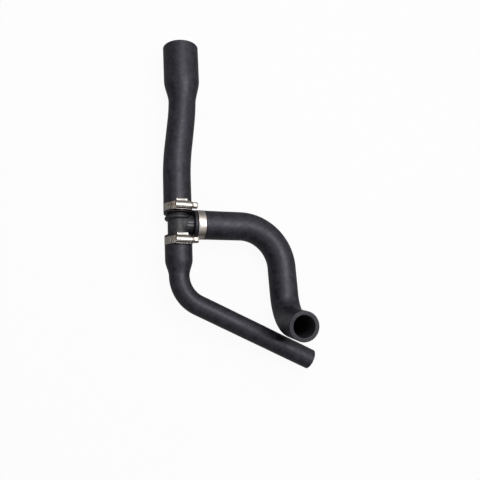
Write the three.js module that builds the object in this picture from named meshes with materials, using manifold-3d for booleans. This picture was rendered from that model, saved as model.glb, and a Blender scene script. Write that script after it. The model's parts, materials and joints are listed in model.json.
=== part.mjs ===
// A radiator hose set: three moulded rubber hoses pushed onto a plastic tee, each held by a worm-drive clip.
// Millimetres and degrees. The set is built flat, with the tee's centre at the origin, its straight run
// along Y and its branch along +X, and is laid on its three lowest points at the end.
import * as THREE from 'three';
import { mergeVertices } from 'three/addons/utils/BufferGeometryUtils.js';
import Module from 'manifold-3d';

const wasm = await Module();
wasm.setup();

// Clearance between neighbouring solids
const GAP = 0.3;

// Upper hose: nearly straight, flared at its free end
const UPPER_BORE = 25.0;
const UPPER_WALL = 4.4;
const UPPER_FLARE_BORE = 35.0;
const UPPER_FLARE_WALL = 4.6;
const UPPER_LENGTH = 228.8;
const UPPER_FLARE_START = 154.6;
const UPPER_FLARE_TAPER = 30.0;
const UPPER_FIRST_RUN = 56.2;
const UPPER_MIDDLE_RUN = 33.1;
const UPPER_BEND_RADIUS = 300.0;
const UPPER_FIRST_BEND = 7.3;
const UPPER_SECOND_BEND = 7.8;

// Lower hose: a thick cuff that necks down to a thin run
const LOWER_CUFF_BORE = 24.2;
const LOWER_CUFF_WALL = 4.2;
const LOWER_BORE = 16.0;
const LOWER_WALL = 4.15;
const LOWER_NECK_SPARE = 5.5;
const LOWER_NECK_TAPER = 19.0;
const LOWER_BEND_RADIUS = 38.5;
const LOWER_BEND = 64.0;
const LOWER_RUN = 154.3;

// Branch hose: a wide bend, then an elbow that turns its mouth up
const BRANCH_BORE = 25.6;
const BRANCH_WALL = 4.85;
const BRANCH_FIRST_RUN = 77.3;
const BRANCH_BEND_RADIUS = 52.8;
const BRANCH_BEND = 88.0;
const BRANCH_DROP = 33.2;
const BRANCH_ELBOW_RADIUS = 37.3;
const BRANCH_ELBOW = 81.0;
const BRANCH_ELBOW_LEAN = 8.0;
const BRANCH_MOUTH_RUN = 36.5;
const ELBOW_CLEARANCE = 4.4;

// All hoses: round section, rounded ends, the rubber pinched under each band
const HOSE_SIDES = 24;
const BEND_STEP = 11.0;
const END_CHAMFER = 0.8;
const BAND_PINCH = 1.0;
const PINCH_SLOPE = 1.2;
const UPPER_LIP = 2.6;
const LOWER_LIP = 2.6;
const BRANCH_LIP = 4.2;

// Tee
const TEE_SIDES = 24;
const TEE_BODY_DIAMETER = 24.6;
const TEE_BORE = 18.6;
const TEE_BRANCH_DIAMETER = 23.8;
const UPPER_SETBACK = 0.0;
const LOWER_SETBACK = 1.8;
const STUB_BEYOND_BAND = 11.5;
const BEAD_HEIGHT = 0.8;
const BEAD_LENGTH = 2.4;
const COLLAR_DIAMETER = 31.6;
const COLLAR_THICKNESS = 4.0;
const COLLAR_SETBACK = 3.0;
const RIB_HEIGHT = 0.7;
const RIB_WIDTH = 1.5;
const RIB_LENGTH = 9.3;
const RIB_SPREAD = 18.0;

// Clip band
const BAND_WIDTH = 9.0;
const BAND_THICKNESS = 0.7;
const BAND_LAP_GAP = 0.2;
const BAND_STEP = 7.5;
const BAND_TUCK = 25.0;
const BAND_RISE = 35.0;
const BAND_TAIL = 60.0;
const SLOT_LENGTH = 5.4;
const SLOT_WIDTH = 1.1;
const SLOT_PITCH = 2.4;
const SLOT_SLANT = 7.0;
const SLOT_LEAD = 56.0;

// Clip screw
const WORM_DIAMETER = 5.8;
const WORM_LENGTH = 16.0;
const SCREW_NECK_DIAMETER = 4.0;
const JOURNAL_DIAMETER = 3.0;
const JOURNAL_LENGTH = 1.6;
const SCREW_COLLAR_DIAMETER = 7.8;
const SCREW_COLLAR_THICKNESS = 2.0;
const HEX_ACROSS_FLATS = 7.0;
const HEX_LENGTH = 5.6;
const DRIVER_SLOT_WIDTH = 1.2;
const DRIVER_SLOT_DEPTH = 1.6;
const SCREW_SIDES = 16;

// Clip housing
const HOUSING_LENGTH = 18.6;
const HOUSING_SHEET = 0.7;
const HOUSING_END_WALL = 0.8;
const ARCH_SHEET = 0.9;
const ARCH_STEPS = 8;
const ARCH_OFFSET = -1.0;
const LUG_LENGTH = 13.0;
const LUG_REACH = 2.2;
const LUG_THICKNESS = 0.8;
const LUG_LIFT = 0.4;
const CLIP_TURN = 4.0;

const rad = THREE.MathUtils.degToRad;
const UP = new THREE.Vector3(0, 0, 1);
const BAND_CHANNEL = BAND_WIDTH + 2 * GAP;

// How far from the tee's centre each hose starts. The run's hoses clear the tee's branch,
// and the branch hose clears the run's hoses.
const upperRadius = UPPER_BORE / 2 + UPPER_WALL;
const lowerRadius = LOWER_BORE / 2 + LOWER_WALL;
const lowerCuffRadius = LOWER_CUFF_BORE / 2 + LOWER_CUFF_WALL;
const branchRadius = BRANCH_BORE / 2 + BRANCH_WALL;
const upperStart = TEE_BRANCH_DIAMETER / 2 + GAP + UPPER_SETBACK;
const lowerStart = TEE_BRANCH_DIAMETER / 2 + GAP + LOWER_SETBACK;
const branchStart = Math.max(upperRadius, lowerCuffRadius) + GAP;

const rubber = () => new THREE.MeshStandardMaterial({ color: 0x323236, roughness: 0.62, metalness: 0 });
const plastic = () => new THREE.MeshStandardMaterial({ color: 0x1f1f23, roughness: 0.42, metalness: 0 });
const steel = () => new THREE.MeshStandardMaterial({ color: 0xc9c6c0, roughness: 0.28, metalness: 1 });

// Solids and meshes

function solidOf(geometry) {
  const bare = geometry.clone();
  bare.deleteAttribute('normal');
  bare.deleteAttribute('uv');
  const merged = mergeVertices(bare, 1e-4);
  const triVerts = [];
  for (let i = 0; i < merged.index.count; i += 3) {
    const [a, b, c] = [0, 1, 2].map((k) => merged.index.getX(i + k));
    if (a !== b && b !== c && c !== a) triVerts.push(a, b, c);
  }
  return new wasm.Manifold(new wasm.Mesh({
    numProp: 3,
    vertProperties: Float32Array.from(merged.attributes.position.array),
    triVerts: Uint32Array.from(triVerts),
  }));
}

function geometryOf(solid) {
  const mesh = solid.getMesh();
  const geometry = new THREE.BufferGeometry();
  geometry.setAttribute('position', new THREE.BufferAttribute(mesh.vertProperties, 3));
  geometry.setIndex(new THREE.BufferAttribute(mesh.triVerts, 1));
  geometry.computeVertexNormals();
  return geometry;
}

function named(name, geometry, material) {
  const mesh = new THREE.Mesh(geometry, material);
  mesh.name = name;
  return mesh;
}

const cylinderY = (radius, length, sides) => new THREE.CylinderGeometry(radius, radius, length, sides);
const cylinderX = (radius, length, sides) => cylinderY(radius, length, sides).rotateZ(rad(-90));

// profile: pairs of place along Y and radius, from low Y to high Y on the outside
function turned(profile, sides) {
  return new THREE.LatheGeometry(profile.map(([y, r]) => new THREE.Vector2(r, y)), sides);
}

// A route of straights and bends. Its frame at any length holds the side, the heading and the way up.

class Route {
  constructor(heading) {
    this.legs = [];
    this.length = 0;
    this.frame = new THREE.Matrix4().makeBasis(heading.clone().cross(UP), heading, UP);
  }

  straight(length) {
    const frame = this.frame.clone();
    this.addLeg(length, [], (run) => frame.clone().multiply(new THREE.Matrix4().makeTranslation(0, run, 0)));
    return this;
  }

  // Positive angles turn the heading by the right-hand rule about the axis, given in the travelling frame
  bend(radius, angle, axis) {
    const frame = this.frame.clone();
    const way = axis.clone().multiplyScalar(Math.sign(angle));
    const centre = way.clone().cross(new THREE.Vector3(0, 1, 0)).multiplyScalar(radius);
    const inward = new THREE.Matrix4().makeTranslation(-centre.x, -centre.y, -centre.z);
    const outward = new THREE.Matrix4().makeTranslation(centre.x, centre.y, centre.z);
    const length = radius * rad(Math.abs(angle));
    const steps = Math.max(2, Math.ceil(Math.abs(angle) / BEND_STEP));
    const between = Array.from({ length: steps - 1 }, (_, i) => length * (i + 1) / steps);
    this.addLeg(length, between, (run) => frame.clone()
      .multiply(outward)
      .multiply(new THREE.Matrix4().makeRotationAxis(way, run / radius))
      .multiply(inward));
    return this;
  }

  addLeg(length, between, frameAfter) {
    this.legs.push({ from: this.length, length, between, frameAfter });
    this.length += length;
    this.frame = frameAfter(length);
  }

  frameAt(run) {
    const leg = this.legs.find((one) => run <= one.from + one.length) ?? this.legs.at(-1);
    return leg.frameAfter(run - leg.from);
  }

  stations() {
    return this.legs.flatMap((leg) => [leg.from, ...leg.between.map((run) => leg.from + run)]);
  }
}

// Hoses. The outside and inside are pairs of place along the route and radius.

function radiusAt(profile, run) {
  const next = Math.max(1, profile.findIndex(([place]) => place >= run));
  const [[place0, radius0], [place1, radius1]] = [profile[next - 1], profile[next]];
  return radius0 + (radius1 - radius0) * (run - place0) / (place1 - place0);
}

function withStations(profile, stations) {
  const clear = 1.0;
  const added = stations
    .filter((run) => run > profile[0][0] && run < profile.at(-1)[0])
    .filter((run) => profile.every(([place]) => Math.abs(place - run) > clear))
    .map((run) => [run, radiusAt(profile, run)]);
  return [...profile, ...added].sort((one, other) => one[0] - other[0]);
}

function taper(from, length, radius0, radius1) {
  const steps = 5;
  return Array.from({ length: steps + 1 }, (_, i) => {
    const t = i / steps;
    return [from + length * t, radius0 + (radius1 - radius0) * t * t * (3 - 2 * t)];
  });
}

function pinched(centre, radius) {
  const half = BAND_CHANNEL / 2;
  return [
    [centre - half - PINCH_SLOPE, radius],
    [centre - half, radius - BAND_PINCH],
    [centre + half, radius - BAND_PINCH],
    [centre + half + PINCH_SLOPE, radius],
  ];
}

function ends(profile, direction) {
  const [[start, startRadius], [finish, finishRadius]] = [profile[0], profile.at(-1)];
  return [
    [start, startRadius - direction * END_CHAMFER],
    [start + END_CHAMFER, startRadius],
    ...profile.slice(1, -1),
    [finish - END_CHAMFER, finishRadius],
    [finish, finishRadius - direction * END_CHAMFER],
  ];
}

// A straight turned blank, with each of its points moved into the route's frame at its own place
function hoseSolid(route, outside, inside) {
  const outer = withStations(ends(outside, 1), route.stations());
  const inner = withStations(ends(inside, -1), route.stations()).reverse();
  const blank = turned([...outer, ...inner, outer[0]], HOSE_SIDES);
  const points = blank.attributes.position;
  for (let i = 0; i < points.count; i++) {
    const [x, run, z] = [points.getX(i), points.getY(i), points.getZ(i)];
    const point = new THREE.Vector3(x, 0, z).applyMatrix4(route.frameAt(run));
    points.setXYZ(i, point.x, point.y, point.z);
  }
  return solidOf(blank);
}

// Clips. Each is built about its hose's axis along Y, its screw along X above the hose, its head at +X.

function clipSizes(hoseRadius) {
  const seat = hoseRadius - BAND_PINCH;
  const bandInside = seat + GAP;
  const lapInside = bandInside + BAND_THICKNESS + BAND_LAP_GAP;
  const channelTop = lapInside + BAND_THICKNESS + GAP;
  return {
    hoseRadius, seat, bandInside, lapInside, channelTop,
    screwHeight: channelTop + WORM_DIAMETER / 2,
  };
}

// The strip starts under the housing, goes once round, rises over its own start and ends in a free tail
function bandInsideAt(sizes, angle) {
  const raised = 360 - BAND_TUCK;
  const t = THREE.MathUtils.smoothstep(angle, raised - BAND_RISE, raised);
  return sizes.bandInside + (sizes.lapInside - sizes.bandInside) * t;
}

function bandSolid(sizes) {
  const finish = 360 + BAND_TAIL;
  const steps = Math.ceil((finish + BAND_TUCK) / BAND_STEP);
  const angles = Array.from({ length: steps + 1 }, (_, i) => -BAND_TUCK + (finish + BAND_TUCK) * i / steps);
  const edge = (thickness) => angles.map((angle) => {
    const radius = bandInsideAt(sizes, angle) + thickness;
    return new THREE.Vector2(radius * Math.sin(rad(angle)), radius * Math.cos(rad(angle)));
  });
  const outline = new THREE.Shape([...edge(0), ...edge(BAND_THICKNESS).reverse()]);
  const strip = new THREE.ExtrudeGeometry(outline, { depth: BAND_WIDTH, bevelEnabled: false })
    .translate(0, 0, -BAND_WIDTH / 2)
    .rotateX(rad(90));
  return slotPlaces(sizes).reduce((band, angle) => band.subtract(slotCutter(sizes, angle)), solidOf(strip));
}

function slotPlaces(sizes) {
  const pitch = THREE.MathUtils.radToDeg(SLOT_PITCH / (sizes.lapInside + BAND_THICKNESS));
  const first = 360 - SLOT_LEAD;
  const count = Math.floor((SLOT_LEAD + BAND_TAIL - pitch) / pitch);
  return Array.from({ length: count }, (_, i) => first + pitch * i);
}

function slotCutter(sizes, angle) {
  const middle = bandInsideAt(sizes, angle) + BAND_THICKNESS / 2;
  const cutter = new THREE.BoxGeometry(SLOT_WIDTH, SLOT_LENGTH, BAND_THICKNESS + BAND_LAP_GAP)
    .rotateZ(rad(SLOT_SLANT))
    .translate(0, ARCH_OFFSET, middle)
    .rotateY(rad(angle));
  return solidOf(cutter);
}

// A pressed housing: an arch over the worm, legs beside the band and a curved base under it
function housingSolid(sizes) {
  const legHalf = BAND_CHANNEL / 2 + HOUSING_SHEET;
  const archRadius = WORM_DIAMETER / 2 + GAP + ARCH_SHEET;
  const section = new THREE.Shape();
  section.moveTo(-legHalf, 0);
  section.lineTo(legHalf, 0);
  section.lineTo(legHalf, sizes.channelTop + HOUSING_SHEET);
  section.absarc(ARCH_OFFSET, sizes.screwHeight, archRadius, 0, Math.PI, false);
  section.lineTo(-legHalf, sizes.channelTop + HOUSING_SHEET);
  section.closePath();
  const block = solidOf(new THREE.ExtrudeGeometry(section, {
    depth: HOUSING_LENGTH, bevelEnabled: false, curveSegments: ARCH_STEPS,
  }).translate(0, 0, -HOUSING_LENGTH / 2).rotateX(rad(90)).rotateZ(rad(90)));

  const baseOutside = solidOf(cylinderY(sizes.seat, BAND_CHANNEL, 2 * HOSE_SIDES));
  const baseInside = solidOf(cylinderY(sizes.seat - HOUSING_SHEET, 2 * BAND_WIDTH, 2 * HOSE_SIDES));
  const channel = solidOf(cylinderY(sizes.channelTop, BAND_CHANNEL, 2 * HOSE_SIDES)).subtract(baseOutside);
  const alongScrew = (radius, from, to) => solidOf(cylinderX(radius, to - from, SCREW_SIDES)
    .translate((from + to) / 2, ARCH_OFFSET, sizes.screwHeight));
  const half = HOUSING_LENGTH / 2;
  const inside = half - HOUSING_END_WALL;
  const wormRoom = alongScrew(WORM_DIAMETER / 2 + GAP, -inside, inside);
  const journalHole = alongScrew(JOURNAL_DIAMETER / 2 + GAP, -half - GAP, 0);
  const neckHole = alongScrew(SCREW_NECK_DIAMETER / 2 + GAP, 0, half + GAP);
  const lugHeight = sizes.hoseRadius + LUG_LIFT + LUG_THICKNESS / 2;
  const lug = solidOf(new THREE.BoxGeometry(LUG_LENGTH, LUG_REACH + HOUSING_SHEET, LUG_THICKNESS)
    .translate(0, legHalf + (LUG_REACH - HOUSING_SHEET) / 2, lugHeight));
  return block.subtract(baseInside).subtract(channel).add(lug)
    .subtract(wormRoom).subtract(journalHole).subtract(neckHole);
}

// The rubber under a housing's base and legs gives way
function housingPocket(sizes) {
  const width = BAND_CHANNEL + 2 * HOUSING_SHEET + 2 * GAP;
  const room = new THREE.BoxGeometry(HOUSING_LENGTH + 2 * GAP, width, sizes.hoseRadius)
    .translate(0, 0, sizes.hoseRadius / 2 + sizes.seat / 2);
  const kept = cylinderY(sizes.seat - HOUSING_SHEET - GAP, 2 * width, 2 * HOSE_SIDES);
  return solidOf(room).subtract(solidOf(kept));
}

function screwSolid(sizes) {
  const half = HOUSING_LENGTH / 2;
  const wormHalf = WORM_LENGTH / 2;
  const collarFrom = half + GAP;
  const hexFrom = collarFrom + SCREW_COLLAR_THICKNESS;
  const chamfer = 0.4;
  const shaft = turned([
    [-wormHalf - JOURNAL_LENGTH, 0],
    [-wormHalf - JOURNAL_LENGTH, JOURNAL_DIAMETER / 2],
    [-wormHalf, JOURNAL_DIAMETER / 2],
    [-wormHalf, WORM_DIAMETER / 2 - chamfer],
    [-wormHalf + chamfer, WORM_DIAMETER / 2],
    [wormHalf - chamfer, WORM_DIAMETER / 2],
    [wormHalf, WORM_DIAMETER / 2 - chamfer],
    [wormHalf, SCREW_NECK_DIAMETER / 2],
    [collarFrom, SCREW_NECK_DIAMETER / 2],
    [collarFrom, SCREW_COLLAR_DIAMETER / 2],
    [hexFrom, SCREW_COLLAR_DIAMETER / 2],
    [hexFrom, 0],
  ], SCREW_SIDES);
  const corner = HEX_ACROSS_FLATS / 2 / Math.cos(rad(30));
  const hex = cylinderY(corner, HEX_LENGTH + chamfer, 6)
    .translate(0, hexFrom + (HEX_LENGTH - chamfer) / 2, 0);
  const slot = new THREE.BoxGeometry(2 * corner, 2 * DRIVER_SLOT_DEPTH, DRIVER_SLOT_WIDTH)
    .translate(0, hexFrom + HEX_LENGTH, 0);
  const screw = solidOf(shaft).add(solidOf(hex)).subtract(solidOf(slot));
  return geometryOf(screw).rotateZ(rad(-90)).translate(0, ARCH_OFFSET, sizes.screwHeight);
}

function clip(name, sizes, place) {
  const group = new THREE.Group();
  group.add(named(`${name}_band`, geometryOf(bandSolid(sizes)), steel()));
  group.add(named(`${name}_housing`, geometryOf(housingSolid(sizes)), steel()));
  group.add(named(`${name}_screw`, screwSolid(sizes), steel()));
  group.applyMatrix4(place);
  return group;
}

// Tee

function stub(body, reach, tip, bore) {
  const bead = bore / 2 - GAP;
  const root = bead - BEAD_HEIGHT;
  return [
    [reach, body],
    [reach, root],
    [tip - 2 * BEAD_LENGTH, root],
    [tip - BEAD_LENGTH, bead],
    [tip - BEAD_LENGTH / 2, bead],
    [tip, root - BEAD_HEIGHT / 2],
  ];
}

function teeSolid(tips) {
  const body = TEE_BODY_DIAMETER / 2;
  const branchBody = TEE_BRANCH_DIAMETER / 2;
  const collarTop = upperStart - GAP - COLLAR_SETBACK;
  const collar = COLLAR_DIAMETER / 2;
  const lowerStub = stub(body, lowerStart - GAP, tips.lower, LOWER_CUFF_BORE)
    .map(([place, r]) => [-place, r]);
  const run = solidOf(turned([
    [-tips.lower, 0],
    ...lowerStub.reverse(),
    [collarTop - COLLAR_THICKNESS, body],
    [collarTop - COLLAR_THICKNESS, collar - END_CHAMFER],
    [collarTop - COLLAR_THICKNESS + END_CHAMFER, collar],
    [collarTop - END_CHAMFER, collar],
    [collarTop, collar - END_CHAMFER],
    [collarTop, body],
    ...stub(body, upperStart - GAP, tips.upper, UPPER_BORE),
    [tips.upper, 0],
  ], TEE_SIDES));
  const branch = solidOf(turned([
    [0, 0],
    [0, branchBody],
    ...stub(branchBody, branchStart - GAP, tips.branch, BRANCH_BORE),
    [tips.branch, 0],
  ], TEE_SIDES).rotateZ(rad(-90)));
  const ribAt = (angle) => solidOf(new THREE.BoxGeometry(RIB_LENGTH, RIB_WIDTH, 2 * RIB_HEIGHT)
    .translate(branchStart - GAP - RIB_LENGTH / 2, 0, branchBody)
    .rotateX(rad(angle)));
  const runLength = tips.upper + tips.lower;
  const runBore = solidOf(cylinderY(TEE_BORE / 2, runLength + 2 * GAP, TEE_SIDES)
    .translate(0, (tips.upper - tips.lower) / 2, 0));
  const branchBore = solidOf(cylinderX(TEE_BORE / 2, tips.branch + GAP, TEE_SIDES)
    .translate((tips.branch + GAP) / 2, 0, 0));
  return run.add(branch).add(ribAt(0)).add(ribAt(RIB_SPREAD)).subtract(runBore).subtract(branchBore);
}

// Routes, each starting at the tee's centre

const TURN = new THREE.Vector3(0, 0, 1);
const RISE = new THREE.Vector3(Math.cos(rad(BRANCH_ELBOW_LEAN)), 0, -Math.sin(rad(BRANCH_ELBOW_LEAN)));

const branchRoute = new Route(new THREE.Vector3(1, 0, 0))
  .straight(BRANCH_FIRST_RUN)
  .bend(BRANCH_BEND_RADIUS, -BRANCH_BEND, TURN)
  .straight(BRANCH_DROP)
  .bend(BRANCH_ELBOW_RADIUS, BRANCH_ELBOW, RISE)
  .straight(BRANCH_MOUTH_RUN);

const upperRoute = new Route(new THREE.Vector3(0, 1, 0))
  .straight(UPPER_FIRST_RUN)
  .bend(UPPER_BEND_RADIUS, -UPPER_FIRST_BEND, TURN)
  .straight(UPPER_MIDDLE_RUN)
  .bend(UPPER_BEND_RADIUS, UPPER_SECOND_BEND, TURN);
upperRoute.straight(UPPER_LENGTH - upperRoute.length);

// The thin run passes every point of the branch hose by the elbow clearance.
// That sets the lower hose's first run.
function lowerFirstRun() {
  const bend = rad(LOWER_BEND);
  const aside = new THREE.Vector3(Math.cos(bend), Math.sin(bend), 0);
  const reach = branchRadius + lowerRadius + ELBOW_CLEARANCE;
  const needed = branchRoute.stations().map((run) => {
    const point = new THREE.Vector3().setFromMatrixPosition(branchRoute.frameAt(run));
    const level = Math.sqrt(Math.max(0, reach ** 2 - point.z ** 2));
    return (level - point.dot(aside) - LOWER_BEND_RADIUS * (1 - Math.cos(bend))) / Math.sin(bend);
  });
  return Math.max(...needed);
}

const lowerRoute = new Route(new THREE.Vector3(0, -1, 0))
  .straight(lowerFirstRun())
  .bend(LOWER_BEND_RADIUS, LOWER_BEND, TURN)
  .straight(LOWER_RUN);

// Places along each arm of the tee

const bandPlaces = {
  upper: upperStart + UPPER_LIP + BAND_WIDTH / 2,
  lower: lowerStart + LOWER_LIP + BAND_WIDTH / 2,
  branch: branchStart + BRANCH_LIP + BAND_WIDTH / 2,
};
const stubTip = (band) => band + BAND_WIDTH / 2 + STUB_BEYOND_BAND;
const tips = {
  upper: stubTip(bandPlaces.upper),
  lower: stubTip(bandPlaces.lower),
  branch: stubTip(bandPlaces.branch),
};

const upperClip = clipSizes(upperRadius);
const lowerClip = clipSizes(lowerCuffRadius);
const branchClip = clipSizes(branchRadius);

const turnedClip = (y) => new THREE.Matrix4().makeTranslation(0, y, 0)
  .multiply(new THREE.Matrix4().makeRotationY(rad(CLIP_TURN)));
const upperPlace = turnedClip(bandPlaces.upper);
const lowerPlace = turnedClip(-bandPlaces.lower);
const branchPlace = new THREE.Matrix4()
  .makeBasis(new THREE.Vector3(0, -1, 0), new THREE.Vector3(-1, 0, 0), new THREE.Vector3(0, 0, -1))
  .setPosition(bandPlaces.branch, 0, 0);

function pocketAt(sizes, place) {
  return solidOf(geometryOf(housingPocket(sizes)).applyMatrix4(place));
}

function upperHose() {
  const mouth = UPPER_FLARE_BORE / 2;
  const outside = [
    [upperStart, upperRadius],
    ...pinched(bandPlaces.upper, upperRadius),
    ...taper(UPPER_FLARE_START, UPPER_FLARE_TAPER, upperRadius, mouth + UPPER_FLARE_WALL),
    [UPPER_LENGTH, mouth + UPPER_FLARE_WALL],
  ];
  const inside = [
    [upperStart, UPPER_BORE / 2],
    ...taper(UPPER_FLARE_START, UPPER_FLARE_TAPER, UPPER_BORE / 2, mouth),
    [UPPER_LENGTH, mouth],
  ];
  return hoseSolid(upperRoute, outside, inside).subtract(pocketAt(upperClip, upperPlace));
}

function lowerHose() {
  const neck = tips.lower + LOWER_NECK_SPARE;
  const outside = [
    [lowerStart, lowerCuffRadius],
    ...pinched(bandPlaces.lower, lowerCuffRadius),
    ...taper(neck, LOWER_NECK_TAPER, lowerCuffRadius, lowerRadius),
    [lowerRoute.length, lowerRadius],
  ];
  const inside = [
    [lowerStart, LOWER_CUFF_BORE / 2],
    ...taper(neck, LOWER_NECK_TAPER, LOWER_CUFF_BORE / 2, LOWER_BORE / 2),
    [lowerRoute.length, LOWER_BORE / 2],
  ];
  return hoseSolid(lowerRoute, outside, inside).subtract(pocketAt(lowerClip, lowerPlace));
}

function branchHose() {
  const outside = [
    [branchStart, branchRadius],
    ...pinched(bandPlaces.branch, branchRadius),
    [branchRoute.length, branchRadius],
  ];
  const inside = [
    [branchStart, BRANCH_BORE / 2],
    [branchRoute.length, BRANCH_BORE / 2],
  ];
  return hoseSolid(branchRoute, outside, inside).subtract(pocketAt(branchClip, branchPlace));
}

// The set rests on three of its pieces, each touching with its lowest point

function lowestPoint(mesh, up) {
  const points = mesh.geometry.attributes.position;
  const point = new THREE.Vector3();
  const lowest = new THREE.Vector3();
  let level = Infinity;
  for (let i = 0; i < points.count; i++) {
    point.fromBufferAttribute(points, i).applyMatrix4(mesh.matrixWorld);
    if (point.dot(up) < level) {
      level = point.dot(up);
      lowest.copy(point);
    }
  }
  return lowest;
}

function restingUp(feet) {
  const passes = 12;
  let up = UP.clone();
  for (let pass = 0; pass < passes; pass++) {
    const [one, two, three] = feet.map((foot) => lowestPoint(foot, up));
    up = two.sub(one).cross(three.sub(one)).normalize();
    if (up.z < 0) up.negate();
  }
  return up;
}

const laid = new THREE.Group();
laid.add(named('upper_hose', geometryOf(upperHose()), rubber()));
laid.add(named('lower_hose', geometryOf(lowerHose()), rubber()));
laid.add(named('branch_hose', geometryOf(branchHose()), rubber()));
laid.add(named('tee_piece', geometryOf(teeSolid(tips)), plastic()));
laid.add(clip('upper', upperClip, upperPlace));
laid.add(clip('lower', lowerClip, lowerPlace));
laid.add(clip('branch', branchClip, branchPlace));
laid.updateMatrixWorld(true);

const feet = ['upper_hose', 'branch_hose', 'branch_housing'].map((name) => laid.getObjectByName(name));
laid.quaternion.setFromUnitVectors(restingUp(feet), UP);
laid.updateMatrixWorld(true);
const box = new THREE.Box3().setFromObject(laid, true);
laid.position.set(-(box.min.x + box.max.x) / 2, -(box.min.y + box.max.y) / 2, -box.min.z);

const group = new THREE.Group();
group.add(laid);

export default group;
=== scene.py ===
"""The looks of a radiator hose set: three moulded rubber hoses on a plastic tee, each held by a clip.

Each piece is modelled flat, with the tee's centre at the origin, its straight run along Y and its branch
along X, and its finished mesh is then laid where the solids lie. Lengths are in metres.
"""

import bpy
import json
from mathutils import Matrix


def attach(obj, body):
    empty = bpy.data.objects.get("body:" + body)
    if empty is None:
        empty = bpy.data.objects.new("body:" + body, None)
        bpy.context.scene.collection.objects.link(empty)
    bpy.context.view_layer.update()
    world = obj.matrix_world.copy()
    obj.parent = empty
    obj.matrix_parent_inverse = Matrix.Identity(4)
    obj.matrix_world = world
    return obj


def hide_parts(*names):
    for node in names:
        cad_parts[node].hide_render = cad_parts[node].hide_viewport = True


bl_info = {
    "name": "Radiator Hose Set",
    "version": (1, 0, 0),
    "blender": (4, 5, 0),
    "location": "View3D > Sidebar > Hose Set",
    "description": "Moulded coolant hoses on a plastic tee, each held by a worm-drive clip",
    "category": "Add Mesh",
}

import json
import math
from types import SimpleNamespace

import bmesh
import bpy
from bpy.props import FloatProperty, FloatVectorProperty, IntProperty, PointerProperty
from bpy.types import Operator, Panel, PropertyGroup
from mathutils import Matrix, Vector, noise

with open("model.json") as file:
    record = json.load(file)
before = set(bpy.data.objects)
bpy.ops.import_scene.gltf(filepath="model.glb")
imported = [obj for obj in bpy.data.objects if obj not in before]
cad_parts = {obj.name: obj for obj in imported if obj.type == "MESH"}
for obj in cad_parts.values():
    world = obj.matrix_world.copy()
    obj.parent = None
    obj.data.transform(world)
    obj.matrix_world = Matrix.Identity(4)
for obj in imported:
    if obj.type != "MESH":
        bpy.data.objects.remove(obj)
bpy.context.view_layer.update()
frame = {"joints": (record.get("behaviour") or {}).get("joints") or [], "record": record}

UP = Vector((0, 0, 1))
AHEAD = Vector((0, 1, 0))
FULL_TURN = 2 * math.pi

# Solids in the frame are 0.3 mm apart where the real pieces touch
CLEARANCE = 0.0003
# A true circle inside the 24-sided section of the hoses' and tee's solids
FACET_FIT = math.cos(math.pi / 24)
# Vertices nearer to each other than this are one vertex
NEAR = 1e-6
# Edges sharper than this stay edges in the shading, in degrees
CREASE = 50


def length(name, description, default, least=0.0):
    return FloatProperty(
        name=name, description=description, default=default, min=least, precision=5, unit="LENGTH"
    )


def position(name, description, default):
    return FloatVectorProperty(
        name=name, description=description, default=default, subtype="XYZ", unit="LENGTH", precision=5
    )


def number(name, description, default):
    return FloatProperty(name=name, description=description, default=default, min=0.0)


def angle(name, description, degrees):
    return FloatProperty(
        name=name, description=description, default=math.radians(degrees), subtype="ANGLE"
    )


def share(name, description, default):
    return FloatProperty(
        name=name, description=description, default=default, min=0.0, max=1.0, subtype="FACTOR"
    )


def colour(name, description, default):
    return FloatVectorProperty(
        name=name, description=description, default=default, min=0.0, max=1.0, subtype="COLOR"
    )


class UpperHoseSizes(PropertyGroup):
    """The long, nearly straight hose with a flared end"""

    bore: length("Bore", "Inside diameter on the tee", 0.025)
    wall: length("Wall", "Wall thickness on the tee", 0.0044)
    flare_bore: length("Flare bore", "Inside diameter of the flared end", 0.035)
    flare_wall: length("Flare wall", "Wall thickness of the flared end", 0.0046)
    length: length("Length", "From the tee's centre to the flared end", 0.2288)
    flare_start: length("Flare start", "From the tee's centre to where the hose widens", 0.1546)
    flare_taper: length("Flare taper", "Length over which the hose widens", 0.030)
    first_run: length("First run", "Straight length from the tee's centre", 0.0562)
    middle_run: length("Middle run", "Straight length between the two bends", 0.0331)
    bend_radius: length("Bend radius", "Centreline radius of both bends", 0.300)
    first_bend: angle("First bend", "Turn towards the branch", 7.3)
    second_bend: angle("Second bend", "Turn back again", 7.8)
    lip: length("Lip", "Rubber that shows between the hose's start and its band", 0.0026)


class LowerHoseSizes(PropertyGroup):
    """The hose with a thick cuff that necks down to a thin run"""

    cuff_bore: length("Cuff bore", "Inside diameter of the cuff on the tee", 0.0242)
    cuff_wall: length("Cuff wall", "Wall thickness of the cuff", 0.0042)
    bore: length("Bore", "Inside diameter of the thin run", 0.016)
    wall: length("Wall", "Wall thickness of the thin run", 0.00415)
    neck_spare: length("Neck spare", "Cuff left beyond the stub's tip", 0.0055)
    neck_taper: length("Neck taper", "Length over which the cuff necks down", 0.019)
    first_run: length("First run", "Straight length from the tee's centre", 0.061154)
    bend_radius: length("Bend radius", "Centreline radius of the bend", 0.0385)
    bend: angle("Bend", "Turn towards the branch", 64.0)
    run: length("Run", "Straight length of the thin run", 0.1543)
    lip: length("Lip", "Rubber that shows between the hose's start and its band", 0.0026)


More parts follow.
